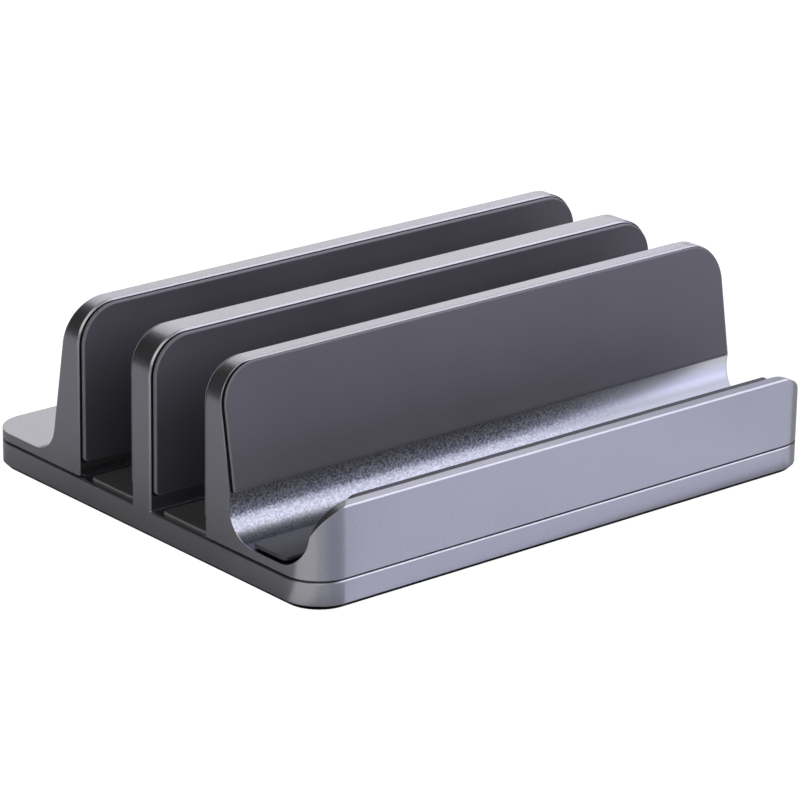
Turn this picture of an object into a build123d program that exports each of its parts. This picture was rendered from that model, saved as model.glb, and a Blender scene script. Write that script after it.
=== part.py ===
"""Vertical laptop stand: base plate with a fixed divider, a sliding rear bracket and a sliding front tray.

X runs along the slots, Y from front to rear, Z up. The origin is under the centre, at the feet's bottom.
All sizes are in millimetres.
"""
from build123d import *
import math
import os

# Base plate and divider
length = 200.0
depth = 161.0
corner_radius = 12.0
base_thickness = 8.7
bottom_chamfer = 1.5
seam_chamfer = 0.4
seam_height = 0.6
seam_depth = 2.0
divider_thickness = 9.0
divider_center = 0.75

# Walls: the divider, the rear bracket's wall and the front tray's wall share their height and corners
wall_height = 54.6
wall_corner_radius = 13.0
wall_edge_chamfer = 0.5
wall_top_thickness = 5.3
wall_lean = 0.172
slot_width = 26.75

# Rear bracket flange and front tray
flange_thickness = 3.4
root_radius = 10.0
cove_radius = 10.9
cove_height = 17.5
lip_height = 23.1
lip_top_thickness = 3.1
lip_top_fall = 0.4
lip_corner_radius = 14.0

# Silicone pads
pad_thickness = 1.8
front_pad_thickness = 1.1
pad_inset = 1.0
pad_edge_chamfer = 0.4
pad_foot_gap = 5.2
pad_foot_radius = 1.5
floor_pad_width = 22.1
floor_pad_thickness = 1.5
floor_pad_front_gap = 0.35
floor_pad_radius = 2.0
tray_pad_thickness = 1.7
tray_pad_margin = 0.1
tray_pad_overhang = 1.3
tray_pad_bevel = 0.7
lip_pad_thickness = 1.4
lip_pad_drop = 0.3
lip_pad_inset = 16.0
lip_pad_corner = 3.0

# Feet
foot_height = 1.0
foot_diameter = 14.0
foot_edge_chamfer = 0.35
foot_inset = 17.0

# Clamping screws, in slots along Y through the base
travel = 4.0
screw_spacing = 140.0
screw_diameter = 4.0
screw_reach = 10.0
screw_tip_gap = 1.0
head_diameter = 7.0
head_height = 2.6
socket_across_flats = 2.5
socket_depth = 1.5
washer_diameter = 9.0
washer_thickness = 0.8
head_recess = 0.9
slot_clearance = 0.35
thread_fit = 0.05
rear_screw_setback = 9.0
front_screw_setback = 8.5

half_length = length / 2
half_depth = depth / 2
base_top = foot_height + base_thickness
divider_rear = divider_center + divider_thickness / 2
divider_front = divider_center - divider_thickness / 2
rear_wall_face = divider_rear + slot_width
front_wall_face = divider_front - slot_width
wall_top = base_top + wall_height
floor_top = base_top + flange_thickness
rear_screw_line = rear_wall_face + rear_screw_setback
front_screw_line = front_wall_face - front_screw_setback
lean_angle = math.atan(wall_lean)


def plan_block(bottom, top, inset):
    """The stand's rounded outline from above, drawn in by an inset and extruded between two heights."""
    outline = RectangleRounded(length - 2 * inset, depth - 2 * inset, corner_radius - inset)
    return extrude(Plane.XY.offset(bottom) * outline, top - bottom)


def room_above_base():
    """What a moving part may fill above the base: the full outline over a drawn-in strip, the seam's shadow gap."""
    strip_top = base_top + seam_height
    return plan_block(base_top, strip_top, seam_depth) + plan_block(strip_top, wall_top + 1, 0)


def corner_cutters(end, top, radius, rear, front):
    """Two bars along Y that round the top corners of a wall whose ends are at plus and minus end."""
    past = radius + 5
    cutters = []
    for side in (-1, 1):
        corner = Plane((side * (end - radius), rear, top - radius), x_dir=(side, 0, 0), z_dir=(0, -side, 0))
        waste = Rectangle(past, past, align=(Align.MIN, Align.MIN)) - Circle(radius)
        spread = rear - front
        cutters.append(extrude(corner * waste, spread if side == 1 else -spread))
    return cutters


def outline_edges(body, plane_y, lowest):
    """The edges of a body that lie in the plane y = plane_y and reach above a height."""
    picked = []
    for edge in body.edges():
        box = edge.bounding_box()
        if abs(box.min.Y - plane_y) < 1e-4 and abs(box.max.Y - plane_y) < 1e-4 and box.max.Z > lowest:
            picked.append(edge)
    return picked


# Base plate with the divider, one machined piece: an inverted T.
def make_base():
    plate = plan_block(foot_height, base_top, 0)
    plate = chamfer(plate.faces().sort_by(Axis.Z)[0].edges(), bottom_chamfer)
    plate = chamfer(plate.faces().sort_by(Axis.Z)[-1].edges(), seam_chamfer)
    root = base_top - 2 * seam_chamfer
    outline = Rectangle(length, wall_top - root, align=(Align.CENTER, Align.MIN))
    outline = fillet(outline.vertices().group_by(Axis.Y)[-1], wall_corner_radius)
    face = Plane((0, divider_front, root), x_dir=(1, 0, 0), z_dir=(0, -1, 0))
    divider = extrude(face * outline, -divider_thickness)
    edges = outline_edges(divider, divider_front, root + 1) + outline_edges(divider, divider_rear, root + 1)
    divider = chamfer(edges, wall_edge_chamfer)
    base = plate + divider
    for line in (rear_screw_line, front_screw_line):
        for side in (-1, 1):
            middle = (side * screw_spacing / 2, line - travel / 2, foot_height)
            slot_plane = Plane(middle, x_dir=(0, 1, 0), z_dir=(0, 0, 1))
            through = screw_diameter + 2 * slot_clearance
            base -= extrude(slot_plane * SlotCenterToCenter(travel, through), base_thickness)
            seat = washer_diameter + 2 * slot_clearance
            sunk = head_recess + head_height + washer_thickness
            base -= extrude(slot_plane * SlotCenterToCenter(travel, seat), sunk)
    return base


def wall_slope(height, top_face, side):
    """Y of a wall's leaning face at a height above the base; side is +1 where it leans to the rear."""
    return top_face + side * wall_lean * (wall_height - height)


def screw_holes(body, line):
    for side in (-1, 1):
        hole = Circle(screw_diameter / 2 + thread_fit)
        body -= extrude(Plane((side * screw_spacing / 2, line, base_top)) * hole, screw_reach)
    return body


# Rear bracket: a flange on the base, a root fillet and the rear wall, thinner towards its top.
def make_rear_bracket():
    top_back = rear_wall_face + wall_top_thickness
    center_z = flange_thickness + root_radius
    touch_z = center_z - root_radius * math.sin(lean_angle)
    touch_y = wall_slope(touch_z, top_back, 1)
    center_y = touch_y + root_radius * math.cos(lean_angle)
    half_turn = (math.pi / 2 - lean_angle) / 2
    mid = math.pi + lean_angle + half_turn
    arc_mid = (center_y + root_radius * math.cos(mid), center_z + root_radius * math.sin(mid))
    past = half_depth + 1
    profile = [
        Polyline((center_y, flange_thickness), (past, flange_thickness), (past, 0), (rear_wall_face, 0),
                 (rear_wall_face, wall_height), (top_back, wall_height), (touch_y, touch_z)),
        ThreePointArc((touch_y, touch_z), arc_mid, (center_y, flange_thickness)),
    ]
    face = Plane((-half_length, 0, base_top), x_dir=(0, 1, 0), z_dir=(1, 0, 0))
    bracket = extrude(face * make_face(profile), length)
    bracket = bracket & room_above_base()
    for cutter in corner_cutters(half_length, wall_top, wall_corner_radius, half_depth, rear_wall_face - 1):
        bracket -= cutter
    bracket = chamfer(outline_edges(bracket, rear_wall_face, base_top + 1), wall_edge_chamfer)
    return screw_holes(bracket, rear_screw_line)


# Front tray: the front wall, the cove under it, the tray floor and the front lip, in one extruded piece.
def tray_points():
    """The places where the tray's outline changes, as y and height above the base."""
    top_front = front_wall_face - wall_top_thickness
    crease_y = wall_slope(cove_height, top_front, -1)
    cove_z = flange_thickness + cove_radius
    cove_y = crease_y - math.sqrt(cove_radius ** 2 - (cove_height - cove_z) ** 2)
    lip_top_inner = -half_depth + lip_top_thickness
    root_z = flange_thickness + root_radius
    touch_z = root_z - root_radius * math.sin(lean_angle)
    touch_y = lip_top_inner + wall_lean * (lip_height - touch_z)
    root_y = touch_y + root_radius * math.cos(lean_angle)
    return top_front, crease_y, cove_y, cove_z, lip_top_inner, touch_y, touch_z, root_y, root_z


def lip_inner_face(height):
    """Y of the lip's inner face at a height above the base: the root fillet, then the leaning face."""
    lip_top_inner, touch_y, touch_z, root_y, root_z = tray_points()[4:]
    if height > touch_z:
        return lip_top_inner + wall_lean * (lip_height - height)
    return root_y - math.sqrt(root_radius ** 2 - min(root_z - height, root_radius) ** 2)


def lip_end():
    """How far along X the lip's inner face reaches at the height where the lip's corner rounding starts."""
    inner_y = lip_inner_face(lip_height - lip_corner_radius)
    inset = max(corner_radius - half_depth - inner_y, 0)
    return half_length - corner_radius + math.sqrt(corner_radius ** 2 - inset ** 2)


def make_front_tray():
    top_front, crease_y, cove_y, cove_z, lip_top_inner, touch_y, touch_z, root_y, root_z = tray_points()
    turn = math.atan2(cove_height - cove_z, crease_y - cove_y)
    mid = (turn - math.pi / 2) / 2
    cove_mid = (cove_y + cove_radius * math.cos(mid), cove_z + cove_radius * math.sin(mid))
    half_turn = (math.pi / 2 - lean_angle) / 2
    mid = -math.pi / 2 - half_turn
    root_mid = (root_y + root_radius * math.cos(mid), root_z + root_radius * math.sin(mid))
    past = -half_depth - 1
    front_edge = -half_depth + wall_edge_chamfer
    front_top = lip_height - lip_top_fall
    profile = [
        ThreePointArc((crease_y, cove_height), cove_mid, (cove_y, flange_thickness)),
        Line((cove_y, flange_thickness), (root_y, flange_thickness)),
        ThreePointArc((root_y, flange_thickness), root_mid, (touch_y, touch_z)),
        Polyline((touch_y, touch_z), (lip_top_inner, lip_height), (front_edge, front_top),
                 (past, front_top - 1 - wall_edge_chamfer), (past, 0), (front_wall_face, 0),
                 (front_wall_face, wall_height), (top_front + wall_edge_chamfer, wall_height),
                 (top_front - wall_lean * wall_edge_chamfer, wall_height - wall_edge_chamfer),
                 (crease_y, cove_height)),
    ]
    face = Plane((-half_length, 0, base_top), x_dir=(0, 1, 0), z_dir=(1, 0, 0))
    tray = extrude(face * make_face(profile), length)
    tray = tray & room_above_base()
    split = (cove_y + root_y) / 2
    for cutter in corner_cutters(half_length, wall_top, wall_corner_radius, front_wall_face + 1, split):
        tray -= cutter
    lip_top = base_top + lip_height
    for cutter in corner_cutters(lip_end(), lip_top, lip_corner_radius, split, -half_depth - 1):
        tray -= cutter
    tray = chamfer(outline_edges(tray, front_wall_face, base_top + 1), wall_edge_chamfer)
    return screw_holes(tray, front_screw_line)


def pad_on(face, width, height, thickness, top_radius, foot_radius):
    """A pad with rounded corners on a face, centred along X, its foot at the plane's origin."""
    outline = Rectangle(width, height, align=(Align.CENTER, Align.MIN))
    outline = fillet(outline.vertices().group_by(Axis.Y)[-1], top_radius)
    outline = fillet(outline.vertices().group_by(Axis.Y)[0], foot_radius)
    pad = extrude(face * outline, thickness)
    outer = pad.faces().sort_by_distance(face.from_local_coords((0, height / 2, 2 * thickness)))[0]
    return chamfer(outer.edges(), pad_edge_chamfer)


# Pads on the upright faces of the two laptop slots, alike on all four faces.
def make_slot_wall_pad(face_y, side):
    face = Plane((0, face_y, base_top + pad_foot_gap), x_dir=(-side, 0, 0), z_dir=(0, side, 0))
    height = wall_height - pad_foot_gap - pad_inset
    corner = wall_corner_radius - pad_inset
    return pad_on(face, length - 2 * pad_inset, height, pad_thickness, corner, pad_foot_radius)


# Pad on the leaning front face of the front wall, down to the crease above the cove.
def make_front_wall_front_pad():
    top_front, crease_y = tray_points()[:2]
    origin = (0, crease_y, base_top + cove_height)
    normal = (0, -math.cos(lean_angle), math.sin(lean_angle))
    face = Plane(origin, x_dir=(1, 0, 0), z_dir=normal)
    height = (wall_height - cove_height) / math.cos(lean_angle) - pad_inset
    corner = wall_corner_radius - pad_inset
    return pad_on(face, length - 2 * pad_inset, height, front_pad_thickness, corner, pad_foot_radius / 2)


# Pad on the lip's inner face, down to where its root fillet starts.
def make_lip_pad():
    lip_top_inner, touch_y, touch_z = tray_points()[4:7]
    normal = (0, math.cos(lean_angle), math.sin(lean_angle))
    face = Plane((0, touch_y, base_top + touch_z), x_dir=(-1, 0, 0), z_dir=normal)
    height = (lip_height - touch_z) / math.cos(lean_angle) - lip_pad_drop
    width = 2 * (lip_end() - lip_pad_inset)
    return pad_on(face, width, height, lip_pad_thickness, lip_pad_corner, pad_foot_radius / 2)


def floor_pad(rear, front, height_from, thickness):
    """A flat pad with rounded corners between two y positions."""
    middle = Plane((0, (rear + front) / 2, height_from))
    outline = RectangleRounded(length - 2 * pad_inset, rear - front, floor_pad_radius)
    pad = extrude(middle * outline, thickness)
    return chamfer(pad.faces().sort_by(Axis.Z)[-1].edges(), pad_edge_chamfer)


# Floor pads of the two laptop slots, each close to the wall in front of it.
def make_slot_floor_pad(wall_in_front):
    front = wall_in_front + floor_pad_front_gap
    return floor_pad(front + floor_pad_width, front, base_top, floor_pad_thickness)


# Tray pad: it hangs over the flat floor on both sides, and its lower edges are bevelled to clear the curves.
def make_tray_floor_pad():
    cove_y, root_y = tray_points()[2], tray_points()[7]
    spread = tray_pad_overhang - tray_pad_margin
    pad = floor_pad(cove_y + spread, root_y - spread, floor_top, tray_pad_thickness)
    under = pad.faces().sort_by(Axis.Z)[0]
    return chamfer(under.edges(), tray_pad_overhang, tray_pad_bevel, reference=under)


# Round feet under the base's corners.
def make_foot(side_x, side_y):
    place = Plane((side_x * (half_length - foot_inset), side_y * (half_depth - foot_inset), 0))
    foot = extrude(place * Circle(foot_diameter / 2), foot_height)
    return chamfer(foot.faces().sort_by(Axis.Z)[0].edges(), foot_edge_chamfer)


# Socket screws from below, and the washers under their heads.
def make_screws(line):
    screws = []
    for side in (-1, 1):
        place = Plane((side * screw_spacing / 2, line, foot_height + head_recess))
        shank = base_thickness - head_recess - head_height + screw_reach - screw_tip_gap
        screw = extrude(place * Circle(head_diameter / 2), head_height)
        screw += extrude(place.offset(head_height) * Circle(screw_diameter / 2), shank)
        socket = RegularPolygon(socket_across_flats / 2, 6, major_radius=False)
        screw -= extrude(place * socket, socket_depth)
        screws.append(screw)
    return Compound(children=screws)


def make_washers(line):
    washers = []
    for side in (-1, 1):
        place = Plane((side * screw_spacing / 2, line, foot_height + head_recess + head_height))
        ring = Circle(washer_diameter / 2) - Circle(screw_diameter / 2 + thread_fit)
        washers.append(extrude(place * ring, washer_thickness))
    return Compound(children=washers)


nodes = {
    "base_with_divider": make_base(),
    "rear_bracket": make_rear_bracket(),
    "front_tray": make_front_tray(),
    "rear_wall_pad": make_slot_wall_pad(rear_wall_face, -1),
    "divider_rear_pad": make_slot_wall_pad(divider_rear, 1),
    "divider_front_pad": make_slot_wall_pad(divider_front, -1),
    "front_wall_rear_pad": make_slot_wall_pad(front_wall_face, 1),
    "front_wall_front_pad": make_front_wall_front_pad(),
    "rear_slot_floor_pad": make_slot_floor_pad(divider_rear),
    "front_slot_floor_pad": make_slot_floor_pad(front_wall_face),
    "tray_floor_pad": make_tray_floor_pad(),
    "lip_pad": make_lip_pad(),
    "rear_screws": make_screws(rear_screw_line),
    "front_screws": make_screws(front_screw_line),
    "rear_washers": make_washers(rear_screw_line),
    "front_washers": make_washers(front_screw_line),
}
for row, side_y in (("front", -1), ("rear", 1)):
    for column, side_x in (("left", -1), ("right", 1)):
        nodes[f"foot_{row}_{column}"] = make_foot(side_x, side_y)

os.makedirs("parts", exist_ok=True)
for name, body in nodes.items():
    body.label = name
    export_step(body, f"parts/{name}.step")
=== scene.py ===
import math

import bpy
import numpy as np
from mathutils import Matrix, Vector


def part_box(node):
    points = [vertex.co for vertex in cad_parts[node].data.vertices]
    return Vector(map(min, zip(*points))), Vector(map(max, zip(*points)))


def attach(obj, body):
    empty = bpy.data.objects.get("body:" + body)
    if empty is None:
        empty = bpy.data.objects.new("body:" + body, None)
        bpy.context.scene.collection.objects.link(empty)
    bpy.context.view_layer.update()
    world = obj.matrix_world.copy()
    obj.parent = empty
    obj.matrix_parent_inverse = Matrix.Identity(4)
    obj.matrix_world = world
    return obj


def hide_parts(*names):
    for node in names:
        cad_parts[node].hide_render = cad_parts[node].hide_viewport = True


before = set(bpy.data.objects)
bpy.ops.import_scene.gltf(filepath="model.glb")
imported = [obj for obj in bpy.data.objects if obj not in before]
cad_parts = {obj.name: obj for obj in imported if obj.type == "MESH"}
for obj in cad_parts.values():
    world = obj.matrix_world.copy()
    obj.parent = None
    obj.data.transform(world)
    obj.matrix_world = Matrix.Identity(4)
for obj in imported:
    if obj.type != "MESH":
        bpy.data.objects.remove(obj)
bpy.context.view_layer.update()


# Base plate and divider: one block of aluminium alloy, milled to a flat plate with an upright rib.
# It is bead blasted, its edges are bevelled, and it is anodised grey. Everything else sits on it.
def linear(hex_text):
    """An sRGB hex colour as linear red, green, blue and alpha."""
    parts = np.array([int(hex_text[i:i + 2], 16) for i in (1, 3, 5)]) / 255
    parts = np.where(parts <= 0.04045, parts / 12.92, ((parts + 0.055) / 1.055) ** 2.4)
    return (*parts.tolist(), 1.0)


def new_material(name, values):
    """A material with some values set on its shader's own inputs."""
    material = bpy.data.materials.new(name)
    material.use_nodes = True
    for socket, value in values.items():
        material.node_tree.nodes["Principled BSDF"].inputs[socket].default_value = value
    return material


def add_node(material, kind, settings={}, values={}, links={}, stops=()):
    """Adds a node: its own settings, values for its inputs, and sockets that feed its inputs.

    The stops are for a colour ramp, each a position from 0 to 1 and an sRGB hex colour.
    """
    new = material.node_tree.nodes.new(kind)
    for name, value in settings.items():
        setattr(new, name, value)
    for name, value in values.items():
        new.inputs[name].default_value = value
    for name, socket in links.items():
        material.node_tree.links.new(socket, new.inputs[name])
    for index, (position, color) in enumerate(stops):
        new.color_ramp.elements[index].position = position
        new.color_ramp.elements[index].color = linear(color)
    return new


def feed_shader(material, sockets):
    """Links sockets to a material's shader, each under the name of the input that it feeds."""
    for name, socket in sockets.items():
        material.node_tree.links.new(socket, material.node_tree.nodes["Principled BSDF"].inputs[name])


def bead_blasted_aluminium(name):
    """Anodised aluminium, bead blasted: a satin grey metal whose tiny dents sparkle where the light turns.

    The dents are about 0.1 mm across on the real surface, too fine to show here, so they are drawn at
    0.6 mm. The anodising varies in patches of about 35 mm, and blasting rounds each edge by 0.3 mm.
    """
    grain, dent, patch, edge = 0.0006, 0.000012, 0.035, 0.0003
    metal = new_material(name, {"Metallic": 1.0})
    place = add_node(metal, "ShaderNodeTexCoord").outputs["Object"]
    dents = add_node(metal, "ShaderNodeTexNoise", {}, {"Scale": 1 / grain, "Detail": 1.5, "Roughness": 0.6},
                     {"Vector": place}).outputs["Fac"]
    clouds = add_node(metal, "ShaderNodeTexNoise", {}, {"Scale": 1 / patch, "Detail": 3.0},
                      {"Vector": place}).outputs["Fac"]
    mottle = add_node(metal, "ShaderNodeMix", {"data_type": "FLOAT"}, {"Factor": 0.35},
                      {"A": dents, "B": clouds}).outputs["Result"]
    tone = add_node(metal, "ShaderNodeValToRGB", links={"Fac": mottle},
                    stops=((0.3, "#939296"), (0.7, "#9b9a9e"))).outputs["Color"]
    satin = add_node(metal, "ShaderNodeMapRange", {},
                     {"From Min": 0.3, "From Max": 0.7, "To Min": 0.26, "To Max": 0.31},
                     {"Value": clouds}).outputs["Result"]
    soft_edge = add_node(metal, "ShaderNodeBevel", {"samples": 6}, {"Radius": edge}).outputs["Normal"]
    relief = add_node(metal, "ShaderNodeBump", {}, {"Strength": 1.0, "Distance": dent},
                      {"Height": dents, "Normal": soft_edge}).outputs["Normal"]
    feed_shader(metal, {"Base Color": tone, "Roughness": satin, "Normal": relief})
    return metal


def dress(node, material):
    """Gives a CAD node one material in all its slots."""
    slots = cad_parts[node].data.materials
    slots.clear()
    slots.append(material)


dress("base_with_divider", bead_blasted_aluminium("aluminium_bead_blasted_block"))


# Rear bracket: an aluminium extrusion cut to length, a flange with a root fillet and a tapering wall.
# It is blasted and anodised with the base, and two screws from below clamp it to the plate.
dress("rear_bracket", bead_blasted_aluminium("aluminium_bead_blasted_bracket"))


# Front tray: a second aluminium extrusion, with a wall, a hollow cove, a tray floor and a low front lip.
# Its ends are milled to the plan's round corners. In the cove the blasting is coarse on the left, drawn as
# specks
# in the colour: grain, whose lighter specks paint its sparkle. They fade to a duller, even skin on the
# right.
# The cove's crease has a painted highlight, lighter specks up to white, and its foot a painted shade,
# darker specks.
tray_metal = bead_blasted_aluminium("aluminium_bead_blasted_tray")
tray_inputs = tray_metal.node_tree.nodes["Principled BSDF"].inputs
blasted = {name: tray_inputs[name].links[0].from_socket for name in ("Base Color", "Roughness", "Normal")}
place = add_node(tray_metal, "ShaderNodeTexCoord").outputs["Object"]
spot = add_node(tray_metal, "ShaderNodeSeparateXYZ", links={"Vector": place}).outputs
off_middle = add_node(tray_metal, "ShaderNodeMath", {"operation": "ABSOLUTE"},
                      links={0: spot["X"]}).outputs["Value"]

# Each fade goes smoothly from nothing to its full share between two positions.
fade = {}
for name, position, nothing, full in (
        ("below_crease", spot["Z"], 0.0276, 0.0266), ("behind_lip", spot["Y"], -0.072, -0.068),
        ("before_wall", spot["Y"], -0.0408, -0.0418), ("off_ends", off_middle, 0.0999, 0.0995),
        ("leftward", spot["X"], 0.075, 0.0), ("whole", spot["Z"], 0.04, 0.03),
        ("upper", spot["Z"], 0.0185, 0.0215), ("crease", spot["Z"], 0.0222, 0.026),
        ("foot", spot["Z"], 0.0172, 0.0144)):
    fade[name] = add_node(tray_metal, "ShaderNodeMapRange", {"interpolation_type": "SMOOTHSTEP"},
                          {"From Min": nothing, "From Max": full}, {"Value": position}).outputs["Result"]
in_cove = fade["below_crease"]
for name in ("behind_lip", "before_wall", "off_ends"):
    in_cove = add_node(tray_metal, "ShaderNodeMath", {"operation": "MULTIPLY"},
                       links={0: in_cove, 1: fade[name]}).outputs["Value"]
coarse_cove = add_node(tray_metal, "ShaderNodeMath", {"operation": "MULTIPLY"},
                       links={0: in_cove, 1: fade["leftward"]}).outputs["Value"]
dull_cove = add_node(tray_metal, "ShaderNodeMath", {"operation": "SUBTRACT"},
                     links={0: in_cove, 1: coarse_cove}).outputs["Value"]

# The coarse grain is about 0.7 mm, and where it has faded its colour is an even mix of its specks.
coarse_grain, pit, even_mix = 0.0007, 0.00004, 0.57
coarse = add_node(tray_metal, "ShaderNodeTexNoise", {}, {"Scale": 1 / coarse_grain, "Detail": 1.5},
                  {"Vector": place}).outputs["Fac"]
calmed = add_node(tray_metal, "ShaderNodeMix", {"data_type": "FLOAT"}, {"A": even_mix},
                  {"Factor": fade["leftward"], "B": coarse}).outputs["Result"]
color = blasted["Base Color"]
# Painted light in the bands: the upper band's light specks paint sparkle, the crease's paint a highlight,
# the foot's dark specks paint shade.
for band, dark, light in (("whole", "#808086", "#9c9ca1"), ("upper", "#8a8c9b", "#e8e9f5"),
                          ("crease", "#a8aab8", "#ffffff"), ("foot", "#3c3d44", "#505158")):
    share = add_node(tray_metal, "ShaderNodeMath", {"operation": "MULTIPLY"},
                     links={0: in_cove, 1: fade[band]}).outputs["Value"]
    specks_and_painted_light = add_node(tray_metal, "ShaderNodeValToRGB", links={"Fac": calmed},
                      stops=((0.36, dark), (0.66, light))).outputs["Color"]
    color = add_node(tray_metal, "ShaderNodeMix", {"data_type": "RGBA"},
                     links={0: share, 6: color, 7: specks_and_painted_light}).outputs[2]
roughness = blasted["Roughness"]
for share, rise in ((coarse_cove, 0.03), (dull_cove, 0.16)):
    roughness = add_node(tray_metal, "ShaderNodeMath", {"operation": "MULTIPLY_ADD"}, {1: rise},
                         {0: share, 2: roughness}).outputs["Value"]
pitted = add_node(tray_metal, "ShaderNodeBump", {}, {"Distance": pit},
                  {"Strength": coarse_cove, "Height": coarse,
                   "Normal": blasted["Normal"]}).outputs["Normal"]
feed_shader(tray_metal, {"Base Color": color, "Roughness": roughness, "Normal": pitted})
dress("front_tray", tray_metal)


# Wall pads of the two laptop slots: four flat mouldings of dark grey silicone rubber, glued on black tape.
# Each follows its wall's rounded top corners just inside the metal, and its rim is painted paler, a painted
# highlight where the light catches it.
def pad_outline(width, height, top_radius, foot_radius):
    """Outline of a pad and its outward directions: four quarter circles in turn, straight runs between.

    Each point is its corner's centre plus the radius times the direction (cos, sin) of its angle.
    """
    steps = 14
    radii = np.array([foot_radius, top_radius, top_radius, foot_radius])
    sides = np.array([1, 1, -1, -1])
    across = sides * (width / 2 - radii)
    up = np.where([False, True, True, False], height - radii, radii)
    angle = np.arange(-1, 3)[:, None] * np.pi / 2 + np.linspace(0, np.pi / 2, steps + 1)
    outward = np.stack([np.cos(angle), np.sin(angle)], -1)
    points = np.stack([across, up], -1)[:, None] + radii[:, None, None] * outward
    return points.reshape(-1, 2), outward.reshape(-1, 2)


def mesh_piece(name, points, faces, material):
    """A mesh object from points and faces, smooth except where faces meet at more than 40 degrees."""
    mesh = bpy.data.meshes.new(name)
    mesh.from_pydata(points.tolist(), [], faces)
    mesh.polygons.foreach_set("use_smooth", np.ones(len(mesh.polygons), bool))
    mesh.set_sharp_from_angle(angle=math.radians(40))
    mesh.materials.append(material)
    mesh.validate()
    piece = bpy.data.objects.new(name, mesh)
    bpy.context.scene.collection.objects.link(piece)
    return piece


def ring_faces(rings, count):
    """Quads between each closed ring of points and the next, and one face over each end ring."""
    start = np.arange(rings - 1)[:, None] * count
    step = np.arange(count)
    after = (step + 1) % count
    quads = np.stack([start + step, start + after, start + count + after, start + count + step], -1)
    ends = [list(range(count - 1, -1, -1)), list(range((rings - 1) * count, rings * count))]
    return quads.reshape(-1, 4).tolist() + ends


def moulded_pad(name, origin, across, up, outline, heights, edge, material, bevel=(0, 0)):
    """A pad as an edge profile carried round its outline, closed by a flat face and a flat back.

    The profile goes from the back's bevel (run, rise) straight up between two heights, round a quarter
    circle of radius edge, and a little way onto the face. A profile point (inset, height) lies at
    outline - inset * outward, raised by height.
    """
    points, outward = outline
    margin = 1.4 * edge
    turn = np.linspace(0, np.pi / 2, 7)
    foot = np.array([[bevel[0], heights[0]]] + [[0, heights[0] + bevel[1]]] * (bevel[0] > 0))
    inset = np.concatenate([foot[:, 0], edge - edge * np.cos(turn), [margin]])
    raised = np.concatenate([foot[:, 1], heights[1] - edge + edge * np.sin(turn), [heights[1]]])
    flat = points[None] - inset[:, None, None] * outward[None]
    across, up = np.array(across, float), np.array(up, float)
    out = np.cross(across, up)
    solid = np.array(origin) + flat[..., :1] * across + flat[..., 1:] * up + raised[:, None, None] * out
    return mesh_piece(name, solid.reshape(-1, 3), ring_faces(len(inset), len(points)), material)


def moulded_silicone(name, dark, light):
    """Silicone rubber from a spark-eroded mould: dark, matt, with a soft sheen and a very fine skin.

    The skin's texture is about 0.05 mm on the real pad, too fine to show, so it is drawn at 0.4 mm.
    The pigment varies in patches of about 30 mm.
    """
    grain, dent, patch = 0.0004, 0.000008, 0.03
    rubber = new_material(name, {"IOR": 1.41})
    place = add_node(rubber, "ShaderNodeTexCoord").outputs["Object"]
    skin = add_node(rubber, "ShaderNodeTexNoise", {}, {"Scale": 1 / grain, "Detail": 1.0},
                    {"Vector": place}).outputs["Fac"]
    clouds = add_node(rubber, "ShaderNodeTexNoise", {}, {"Scale": 1 / patch, "Detail": 3.0},
                      {"Vector": place}).outputs["Fac"]
    mottle = add_node(rubber, "ShaderNodeMix", {"data_type": "FLOAT"}, {"Factor": 0.5},
                      {"A": skin, "B": clouds}).outputs["Result"]
    tone = add_node(rubber, "ShaderNodeValToRGB", links={"Fac": mottle},
                    stops=((0.3, dark), (0.7, light))).outputs["Color"]
    satin = add_node(rubber, "ShaderNodeMapRange", {},
                     {"From Min": 0.3, "From Max": 0.7, "To Min": 0.46, "To Max": 0.58},
                     {"Value": clouds}).outputs["Result"]
    relief = add_node(rubber, "ShaderNodeBump", {}, {"Strength": 1.0, "Distance": dent},
                      {"Height": skin}).outputs["Normal"]
    feed_shader(rubber, {"Base Color": tone, "Roughness": satin, "Normal": relief})
    return rubber


def foam_tape(name):
    """Black acrylic foam tape, die cut: a dead matt black whose fine open cells swallow the light.

    The cells are about 0.1 mm on the real tape, too fine to show, so they are drawn at 0.4 mm.
    """
    cell = 0.0004
    tape = new_material(name, {"Roughness": 0.9, "Specular IOR Level": 0.1})
    place = add_node(tape, "ShaderNodeTexCoord").outputs["Object"]
    cells = add_node(tape, "ShaderNodeTexNoise", {}, {"Scale": 1 / cell}, {"Vector": place}).outputs["Fac"]
    tone = add_node(tape, "ShaderNodeValToRGB", links={"Fac": cells},
                    stops=((0, "#060606"), (1, "#141414"))).outputs["Color"]
    feed_shader(tape, {"Base Color": tone})
    return tape


pad_rubber = moulded_silicone("silicone_moulded_pads", "#545257", "#5d5b61")
# A paler copy of the pad rubber that paints a lit rim: a painted highlight.
rim_rubber_painted_lit = moulded_silicone("silicone_rims_painted_lit", "#807e84", "#8a888e")
tape_black = foam_tape("foam_tape_die_cut")


def paint_lit_rim(pad, count, first, end):
    """Gives a pad's rings of faces from first up to end, of count faces each, a paler rubber: a painted
    highlight on the rim.
    """
    ring = np.arange(len(pad.data.polygons)) // count
    pad.data.materials.append(rim_rubber_painted_lit)
    pad.data.polygons.foreach_set("material_index", (ring >= first) & (ring < end))


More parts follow.
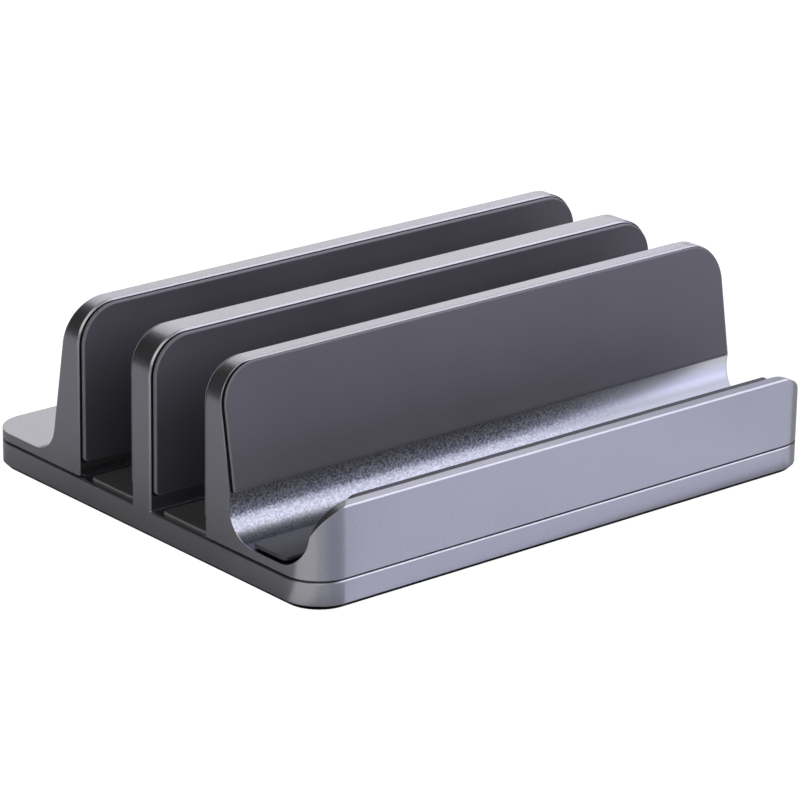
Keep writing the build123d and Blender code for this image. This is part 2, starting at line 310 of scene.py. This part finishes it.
def taped_pad(node, body, origin, across, up, size, radii, tape, thickness, below, rubber):
    """A silicone pad on black tape, which stands out by 0.4 mm at the ends, and below the pad where asked.

    The pad's sides and most of its rounding, the first five rings of faces, are painted paler, a painted
    highlight of a lit rim.
    """
    width, height = size
    overhang, side_gap, tape_edge, pad_edge = 0.0004, 0.0001, 0.0001, 0.0006
    outline = pad_outline(width + 2 * overhang, height + below, *radii)
    backing = moulded_pad(node + "_tape", np.array(origin) - below * np.array(up), across, up, outline,
                          (0, tape), tape_edge, tape_black)
    outline = pad_outline(width - 2 * side_gap, height, *radii)
    pad = moulded_pad(node + "_moulded", origin, across, up, outline, (tape, thickness), pad_edge, rubber)
    paint_lit_rim(pad, len(outline[0]), 0, 5)
    for piece in (backing, pad):
        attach(piece, body)
    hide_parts(node)


slot_radii, slot_tape, taller = (0.012, 0.0015), 0.0005, 0.00025
for node, body, side in (("rear_wall_pad", "rear_bracket", -1), ("divider_rear_pad", "base", 1),
                         ("divider_front_pad", "base", -1), ("front_wall_rear_pad", "front_tray", 1)):
    low, high = (np.array(corner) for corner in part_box(node))
    width, thickness, height = high - low
    back = low[1] if side == 1 else high[1]
    taped_pad(node, body, (0, back, low[2]), (-side, 0, 0), (0, 0, 1), (width, height + taller),
              slot_radii, slot_tape, thickness, below=0.0004, rubber=pad_rubber)


# Front wall pad: a thinner silicone moulding on the leaning front face, where a phone or tablet rests.
# It ends at the crease above the cove, so the bare metal of the hollow shows below it.
# A lighter copy of the pads' rubber: the leaning face is painted as more lit, a painted highlight.
front_rubber_painted_lit = moulded_silicone("silicone_front_pad_painted_lit", "#5a585d", "#646268")
slope = 0.172
lean = math.atan(slope)
crease = (0, -0.0421812, 0.0272)
length, wall_rise, bare_top = 0.198, 0.0371, 0.0006
taped_pad("front_wall_front_pad", "front_tray", crease, (1, 0, 0), (0, math.sin(lean), math.cos(lean)),
          (length, wall_rise / math.cos(lean) - bare_top), (0.012, 0.00075),
          tape=0.0004, thickness=0.0011, below=0, rubber=front_rubber_painted_lit)


# Lip pad: a silicone strip glued inside the lip, which keeps a phone's glass off the metal.
# It is level with the lip's top and stops short of its falling ends, with rounded upper corners.
base_top, lip_top, lip_back = 0.0097, 0.0231, -0.0774
fillet_height, fillet_radius = 0.0134, 0.01
longer, proud = 0.0019, 0.00005
touch_height = fillet_height - fillet_radius * math.sin(lean)
rise = (lip_top - touch_height) / math.cos(lean) + proud
touch = (0, lip_back + slope * (lip_top - touch_height), base_top + touch_height)
low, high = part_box("lip_pad")
pad = moulded_pad("lip_pad_moulded", touch, (-1, 0, 0), (0, -math.sin(lean), math.cos(lean)),
                  pad_outline(high[0] - low[0] + 2 * longer, rise, 0.003, 0.00075),
                  heights=(0, 0.0018), edge=0.0005, material=pad_rubber)
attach(pad, "front_tray")
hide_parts("lip_pad")


# Floor pads: flat silicone strips in both slots and in the tray, cut with small round corners.
# They are glued down and take the weight of what stands on them. Those in the slots have edges painted
# paler, a painted highlight of a lit rim, and the tray's is bevelled underneath.
floor_rubber = moulded_silicone("silicone_moulded_floor_pads", "#484747", "#504f4f")
corner_radius = 0.002
for node, body, edge, bevel in (("rear_slot_floor_pad", "base", 0.0006, (0, 0)),
                                ("front_slot_floor_pad", "base", 0.0006, (0, 0)),
                                ("tray_floor_pad", "front_tray", 0.0003, (0.0013, 0.0007))):
    low, high = (np.array(corner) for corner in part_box(node))
    width, depth, thickness = high - low
    outline = pad_outline(width, depth, corner_radius, corner_radius)
    pad = moulded_pad(node + "_moulded", (0, low[1], low[2]), (1, 0, 0), (0, 1, 0), outline,
                      (0, thickness), edge, floor_rubber, bevel)
    if body == "base":
        paint_lit_rim(pad, len(outline[0]), 1, 5)
    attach(pad, body)
    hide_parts(node)


# Feet: four round discs of black silicone with shallow anti-slip rings, pressed from sheet and glued on.
# They lift the plate by a millimetre, so only the shadow line under it shows.
def turned(profile, count):
    """Points of a profile of (radius, height) pairs carried round the upright axis in equal steps."""
    angle = np.linspace(0, 2 * np.pi, count, endpoint=False)
    radius, height = profile[:, :1], profile[:, 1:]
    return np.stack([radius * np.cos(angle), radius * np.sin(angle), height + 0 * angle], -1)


foot_rubber = moulded_silicone("silicone_pressed_feet", "#1d1d1f", "#262628")
radius, height, edge, middle = 0.007, 0.001, 0.00035, 0.0005
ring_depth, ring_spacing, steepness, ring_steps, count = 0.00012, 0.0016, 1.6, 60, 64
turn = np.linspace(0, np.pi / 2, 6)
across = np.linspace(middle, radius - 2 * edge, ring_steps)
rings = ring_depth * np.clip(np.sin(across * 2 * np.pi / ring_spacing) * steepness, 0, 1)
rim = np.stack([radius - edge + edge * np.sin(turn), edge - edge * np.cos(turn)], -1)
profile = np.concatenate([np.stack([across, rings], -1), rim, [[radius, height], [middle, height]]])
disc = turned(profile, count).reshape(-1, 3)
for node in ("foot_front_left", "foot_front_right", "foot_rear_left", "foot_rear_right"):
    low, high = (np.array(corner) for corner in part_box(node))
    centre = np.array([(low[0] + high[0]) / 2, (low[1] + high[1]) / 2, low[2]])
    foot = mesh_piece(node + "_pressed", disc + centre, ring_faces(len(profile), count), foot_rubber)
    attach(foot, "base")
    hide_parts(node)


# Clamping screws: four M4 low-head socket screws of zinc-plated steel, one pair to each moving part.
# They go up through slots in the plate, and their heads sit in the slots' counterbores.
def plated_steel(name):
    """Zinc-plated steel, turned and barrelled: a bright, slightly blue metal with soft blurred patches.

    The barrelling marks are about 0.05 mm on the real screw, too fine to show, so they are drawn at 0.3 mm.
    """
    mark = 0.0003
    steel = new_material(name, {"Metallic": 1.0})
    place = add_node(steel, "ShaderNodeTexCoord").outputs["Object"]
    marks = add_node(steel, "ShaderNodeTexNoise", {}, {"Scale": 1 / mark, "Detail": 2.0},
                     {"Vector": place}).outputs["Fac"]
    tone = add_node(steel, "ShaderNodeValToRGB", links={"Fac": marks},
                    stops=((0, "#a4a8ad"), (1, "#c2c5c9"))).outputs["Color"]
    satin = add_node(steel, "ShaderNodeMapRange", {},
                     {"From Min": 0.3, "From Max": 0.7, "To Min": 0.24, "To Max": 0.36},
                     {"Value": marks}).outputs["Result"]
    feed_shader(steel, {"Base Color": tone, "Roughness": satin})
    return steel


screw_metal = plated_steel("steel_zinc_plated_screws")
for node in ("rear_screws", "front_screws"):
    dress(node, screw_metal)


# Washers: plain zinc-plated steel rings under the screw heads, which spread the clamping over the slots.
# They are punched from sheet, and slide along the slots with the screws.
washer_metal = plated_steel("steel_zinc_plated_washers")
for node in ("rear_washers", "front_washers"):
    dress(node, washer_metal)


# Studio: the stand on a white table between softboxes. The camera sees a plain pale floor, and the metal
# mirrors the table, lit acrylic panels and cards, grey and dark felt, and a black sheet under the stand,
# painted shade that stands in for its contact shadow.
def stage_sheet(name, corners, finish, color, glow_color, glow):
    """A flat sheet between four corners, which is no part of the stand: matt paper, felt or lit acrylic.

    It gives off the same glow all over, as overexposed paper or acrylic lit from behind does.
    """
    matt = new_material(finish, {"Base Color": linear(color), "Roughness": 1.0, "Specular IOR Level": 0.0,
                                 "Emission Color": linear(glow_color), "Emission Strength": glow})
    sheet = mesh_piece(name, np.array(corners), [[0, 1, 2, 3]], matt)
    return sheet


def level(corners, height=-0.0001):
    """Corners of a level sheet from pairs of x and y."""
    return [[x, y, height] for x, y in corners]


def upright(start, end, top):
    """Corners of an upright sheet that stands on the line between two points, each a pair of x and y."""
    return [[*start, 0], [*end, 0], [*end, top], [*start, top]]


square = np.array([[-1, -1], [1, -1], [1, 1], [-1, 1]])
floor = stage_sheet("floor", level(6 * square, 0), "paper_overexposed", "#777777", "#ffffff", 1.0)
floor.visible_diffuse = floor.visible_glossy = floor.visible_shadow = False
away, sideways, upward = np.array([[-0.486, 0.695, 0.53], [0.41, 0.287, 0], [0.122, -0.174, 0.339]])
flag_corners = [away + x * sideways + y * upward for x, y in square]

# The last value of each row says whether only what mirrors the sheet sees it.
for *sheet_values, mirrored_only in (
        ("table", level(5 * square, -0.0002), "paper_white_matt", "#e6e6e6", "#ffffff", 0.0, False),
        ("front_panel", level(((-0.0865, -0.0834), (0.09, -0.332), (0.1, -0.347), (0.1, -0.089))),
         "acrylic_lit_front", "#e6e6e6", "#e0e3ff", 0.95, False),
        ("right_panel", level(((0.1, -0.6), (0.6, -0.6), (0.6, -0.2232), (0.1, -0.0824))),
         "acrylic_lit_right", "#e6e6e6", "#e0e3ff", 0.8, False),
        ("shade", level(((0.1, -0.0824), (0.6, -0.2232), (0.6, 0.03), (0.1, 0.03))),
         "felt_grey", "#404040", "#ffffff", 0.46, True),
        ("card", upright((0.17, -0.36), (0.4, -0.13), 0.1),
         "acrylic_lit_card", "#e6e6e6", "#e6e8fa", 0.47, True),
        ("rear_card", upright((0.75, 0.376), (0.4, 0.736), 0.26),
         "acrylic_lit_rear", "#e6e6e6", "#f6f4fa", 0.8, True),
        ("corner_panel", level(((-0.0935, -0.092), (-0.3, -0.57), (0.25, -0.57), (-0.0815, -0.092))),
         "acrylic_lit_corner", "#e6e6e6", "#c8d0ff", 0.24, False),
        ("middle_panel", level(((-0.105, -0.0875), (-0.544, -0.57), (-0.3, -0.57), (-0.0935, -0.092))),
         "acrylic_lit_middle", "#e6e6e6", "#e2e4f4", 0.4, False),
        ("side_panel", level(((-0.106, -0.064), (-0.6, -0.064), (-0.6, -0.63), (-0.105, -0.0875))),
         "acrylic_lit_side", "#e6e6e6", "#f4f1ef", 0.6, False),
        ("flag", flag_corners, "felt_dark", "#101010", "#ffffff", 0.05, True),
        # The mat is a painted contact shadow: a black sheet where the table is shaded under the stand.
        ("mat", level(square * (0.1, 0.0805)), "painted_contact_shadow_black", "#101010", "#ffffff", 0.0, False)):
    sheet = stage_sheet(*sheet_values)
    sheet.visible_camera = False
    sheet.visible_diffuse = sheet.visible_shadow = not mirrored_only


def softbox(name, azimuth, elevation, distance, size, radiance, color):
    """An area light that faces the stand, at angles in degrees; azimuth goes from the rear to the right."""
    turn, rise = math.radians(azimuth), math.radians(elevation)
    aside = Vector((math.sin(turn), math.cos(turn), 0))
    data = bpy.data.lights.new(name, "AREA")
    data.shape = "RECTANGLE"
    data.size, data.size_y = size
    data.energy = radiance * math.pi * size[0] * size[1]
    data.color = linear(color)[:3]
    light = bpy.data.objects.new(name, data)
    bpy.context.scene.collection.objects.link(light)
    light.location = distance * (math.cos(rise) * aside + math.sin(rise) * Vector((0, 0, 1)))
    light.rotation_euler = (-light.location).to_track_quat("-Z", "Y").to_euler()
    light.visible_camera = False
    return light


# Three of the softboxes light only what mirrors them.
for *light_values, mirrored_only in (("key", 138, 33, 2.2, (2.6, 1.5), 3.1, "#eceeff", False),
                                     ("back", 25, 29, 2.2, (1.8, 1.25), 1.4, "#fdfbff", False),
                                     ("right", 60, 37, 2.2, (1.2, 1.0), 1.05, "#e4e6ff", False),
                                     ("left", 272, 30, 2.2, (1.0, 1.0), 3.2, "#ffffff", False),
                                     ("top", 0, 90, 2.4, (2.4, 2.4), 0.7, "#ffffff", True),
                                     ("front", 221, 33, 2.2, (2.4, 2.0), 1.5, "#ffffff", True),
                                     ("edge", 106, 55, 2.3, (1.6, 0.6), 1.6, "#ffffff", True)):
    softbox(*light_values).visible_diffuse = not mirrored_only
studio = bpy.data.worlds.new("studio")
studio.use_nodes = True
studio.node_tree.nodes["Background"].inputs["Color"].default_value = linear("#ffffff")
studio.node_tree.nodes["Background"].inputs["Strength"].default_value = 0.1
bpy.context.scene.world = studio
bpy.context.scene.view_settings.view_transform = "Standard"


# Camera: a long lens from the front left and above, fitted to the straight edges of the photograph.
azimuth, elevation, roll, distance = -40.271, 19.8605, 0.894, 1.29919
middle_height, shift_left, shift_down = 0.031827, 0.0004419, 0.0093955
focal_pixels, frame_pixels = 4193.53, 800
turn = (Matrix.Rotation(math.radians(azimuth), 3, "Z")
        @ Matrix.Rotation(math.radians(90 - elevation), 3, "X")
        @ Matrix.Rotation(math.radians(roll), 3, "Z"))
aim = Vector((0, 0, middle_height)) - shift_left * turn.col[0] - shift_down * turn.col[1]
lens = bpy.data.cameras.new("camera")
lens.sensor_width = 36.0
lens.lens = focal_pixels * lens.sensor_width / frame_pixels
lens.clip_start, lens.clip_end = 0.05, 50
camera = bpy.data.objects.new("camera", lens)
bpy.context.scene.collection.objects.link(camera)
camera.matrix_world = Matrix.Translation(aim + distance * turn.col[2]) @ turn.to_4x4()
bpy.context.scene.camera = camera
